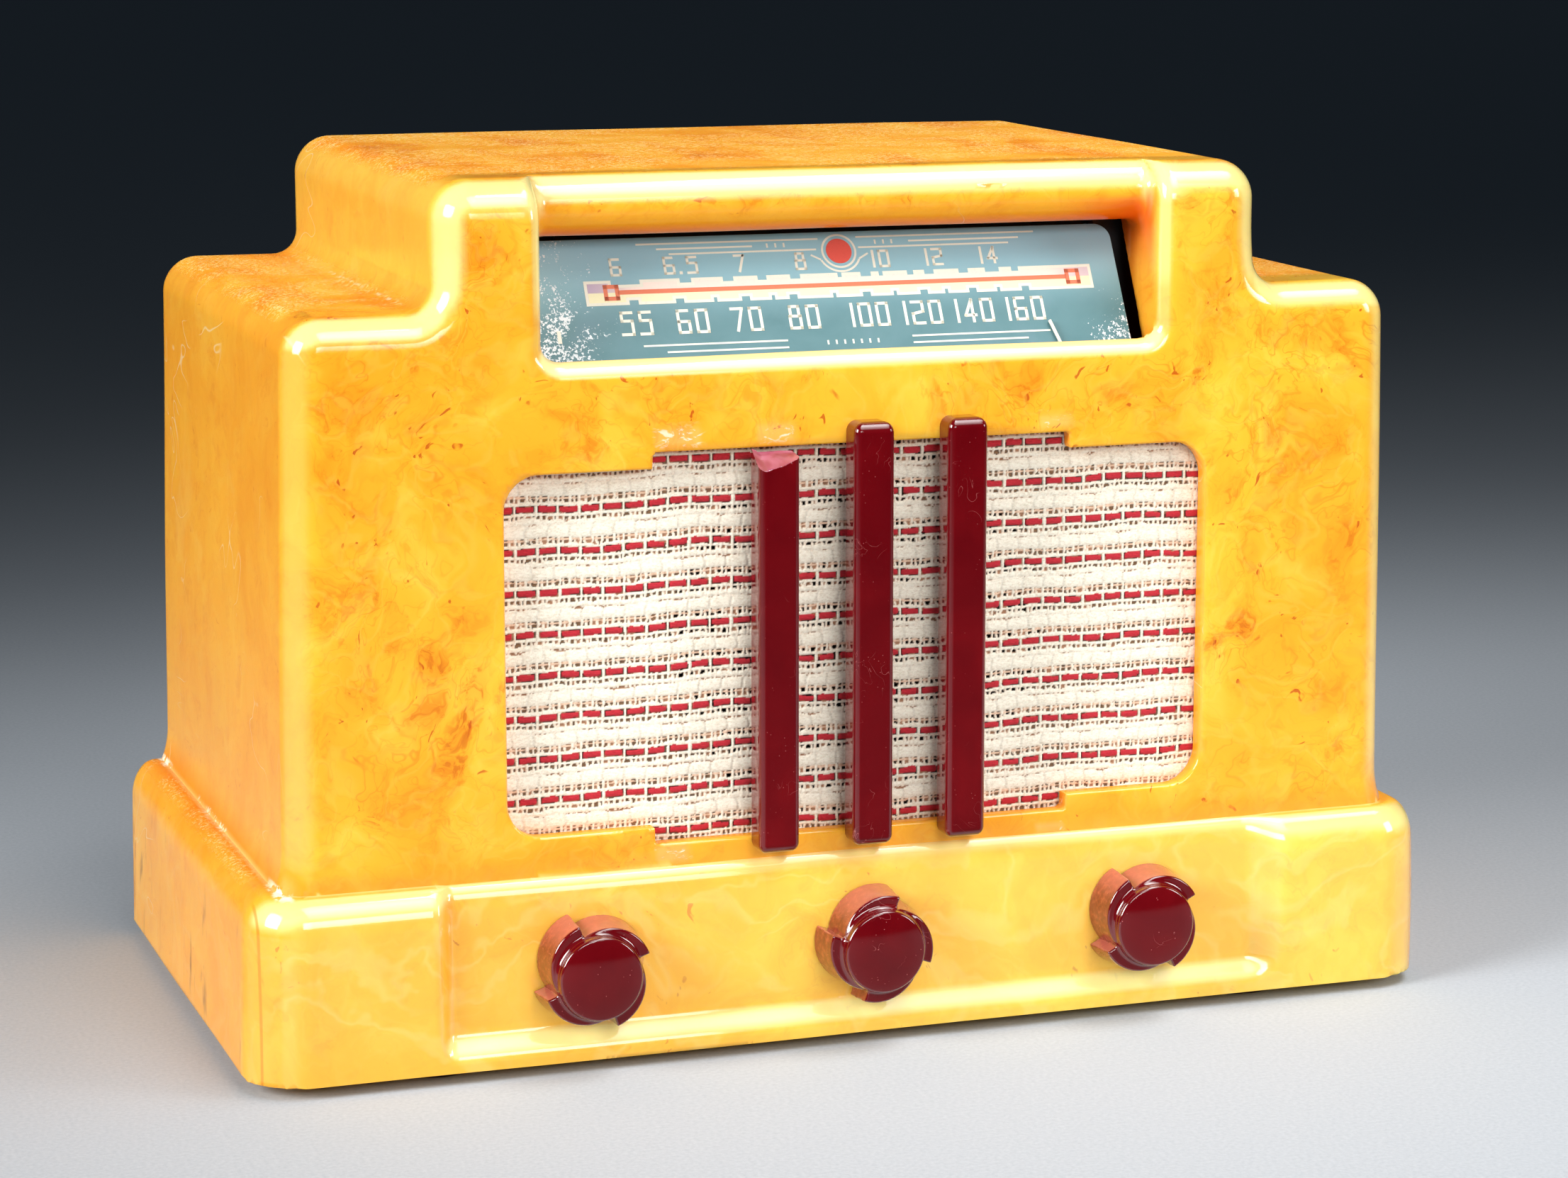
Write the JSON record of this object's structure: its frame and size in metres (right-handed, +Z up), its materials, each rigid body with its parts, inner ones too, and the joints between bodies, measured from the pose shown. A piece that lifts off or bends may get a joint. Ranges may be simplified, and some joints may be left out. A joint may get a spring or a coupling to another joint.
{
  "type": "table radio",
  "caption": "Table radio in an amber cast-resin case with a plinth, stepped tower, dial window, barred cloth grille and lobed maroon knobs.",
  "frame": {"origin": "middle of the rubber feet's footprint box, on the table: the centre of the underside of the whole object's bounding box", "axes": "+Z up, +X to the radio's right-hand knob as seen from the front, -Y out of the front (grille, dial and knobs), +Y out of the back cover"},
  "size_m": [0.3, 0.1694, 0.2086],
  "materials": {
    "catalin_amber": "polished cast phenolic, amber yellow with orange marbling",
    "catalin_maroon": "polished cast phenolic, deep maroon",
    "grille_fabric": "coarse cream weave with red dashes",
    "fibreboard": "pressed brown fibreboard",
    "zinc_screw": "dull plated screws, bolts and nuts",
    "plated_steel": "dull plated sheet steel",
    "shaft_steel": "bright turned steel",
    "dark_steel": "dark grey enamel on steel",
    "cone_paper": "pressed black-brown paper",
    "spring_brass": "dull brass",
    "control_case": "tarnished plated cover",
    "phenolic": "brown moulded and laminated phenolic",
    "dial_print": "blue-grey enamel with cream printing",
    "black_paint": "matt black enamel",
    "pointer_paint": "cream paint",
    "dial_string": "waxed cord",
    "pulley_brass": "turned brass",
    "vane_aluminium": "thin stamped plates",
    "can_aluminium": "drawn cans",
    "bulb_glass": "clear glass on a brown base",
    "antenna_wire": "cotton-covered copper winding",
    "rubber_black": "hard rubber"
  },
  "bodies": {
    "case": {"cabinet": "catalin_amber", "bar_left": "catalin_maroon", "bar_middle": "catalin_maroon", "bar_right": "catalin_maroon", "grille_cloth": "grille_fabric", "baffle_board": "fibreboard", "baffle_screws": "zinc_screw", "speaker_frame": "dark_steel", "speaker_magnet": "dark_steel", "speaker_screws": "zinc_screw", "output_transformer": "dark_steel", "chassis": "plated_steel", "chassis_bolts": "zinc_screw", "rubber_feet": "rubber_black", "foot_screws": "zinc_screw", "volume_control": "control_case", "band_switch": "phenolic", "tuning_bush": "spring_brass", "control_nuts": "zinc_screw", "dial_plate": "dial_print", "dial_bracket": "black_paint", "dial_screws": "zinc_screw", "pointer_rail": "shaft_steel", "dial_cord": "dial_string", "gang_frame": "plated_steel", "gang_stators": "vane_aluminium", "lamp_holders": "spring_brass", "dial_lamps": "bulb_glass", "valve_sockets": "phenolic", "valve_1": "bulb_glass", "valve_2": "bulb_glass", "valve_3": "bulb_glass", "valve_4": "bulb_glass", "valve_5": "bulb_glass", "if_can_1": "can_aluminium", "if_can_2": "can_aluminium", "filter_can": "can_aluminium", "back_cover": "fibreboard", "back_screws": "zinc_screw", "loop_antenna": "antenna_wire", "cord_grommet": "rubber_black"},
    "volume": {"volume_knob": "catalin_maroon", "volume_clip": "spring_brass", "volume_shaft": "shaft_steel"},
    "band": {"band_knob": "catalin_maroon", "band_clip": "spring_brass", "band_shaft": "shaft_steel"},
    "tuning": {"tuning_knob": "catalin_maroon", "tuning_clip": "spring_brass", "tuning_shaft": "shaft_steel"},
    "drum": {"drive_drum": "plated_steel", "gang_rotor": "vane_aluminium"},
    "pointer": {"dial_pointer": "pointer_paint"},
    "pulley_l": {"pulley_left": "pulley_brass"},
    "pulley_r": {"pulley_right": "pulley_brass"},
    "pulley_m": {"pulley_return": "pulley_brass"},
    "cone": {"speaker_cone": "cone_paper"}
  },
  "joints": [
    {"name": "volume_turn", "type": "hinge", "parent": "case", "child": "volume", "pos_m": [-0.07, -0.06805, 0.025], "axis": [0, 1, 0], "range_deg": [-60, 240]},
    {"name": "band_turn", "type": "hinge", "parent": "case", "child": "band", "pos_m": [0, -0.06805, 0.025], "axis": [0, 1, 0], "range_deg": [0, 30]},
    {"name": "tuning_turn", "type": "hinge", "parent": "case", "child": "tuning", "pos_m": [0.07, -0.06805, 0.025], "axis": [0, 1, 0], "range_deg": [-1545, 5]},
    {"name": "drum_turn", "type": "hinge", "parent": "case", "child": "drum", "pos_m": [0.097, -0.04805, 0.063], "axis": [0, 1, 0], "range_deg": [-176.11, 0.2]},
    {"name": "pointer_slide", "type": "slide", "parent": "case", "child": "pointer", "axis": [1, 0, 0], "range_m": [-0.1048, 0]},
    {"name": "pulley_left_turn", "type": "hinge", "parent": "case", "child": "pulley_l", "pos_m": [-0.078, -0.04805, 0.153], "axis": [0, 1, 0], "range_deg": [-958, 5]},
    {"name": "pulley_right_turn", "type": "hinge", "parent": "case", "child": "pulley_r", "pos_m": [0.1249, -0.04805, 0.153], "axis": [0, 1, 0], "range_deg": [-958, 5]},
    {"name": "pulley_return_turn", "type": "hinge", "parent": "case", "child": "pulley_m", "pos_m": [0.0377, -0.04805, 0.1404], "axis": [0, 1, 0], "range_deg": [-5, 958]},
    {"name": "cone_travel", "type": "slide", "parent": "case", "child": "cone", "axis": [0, 1, 0], "range_m": [-0.0008, 0.0008], "stiffness_N_per_m": 1500}
  ],
  "couplings": [
    {"joint": "tuning_turn", "follows": "pointer_slide", "rad_per_m": 256.41},
    {"joint": "drum_turn", "follows": "pointer_slide", "rad_per_m": 29.24},
    {"joint": "pulley_left_turn", "follows": "pointer_slide", "rad_per_m": 158.73},
    {"joint": "pulley_right_turn", "follows": "pointer_slide", "rad_per_m": 158.73},
    {"joint": "pulley_return_turn", "follows": "pointer_slide", "rad_per_m": -158.73}
  ]
}
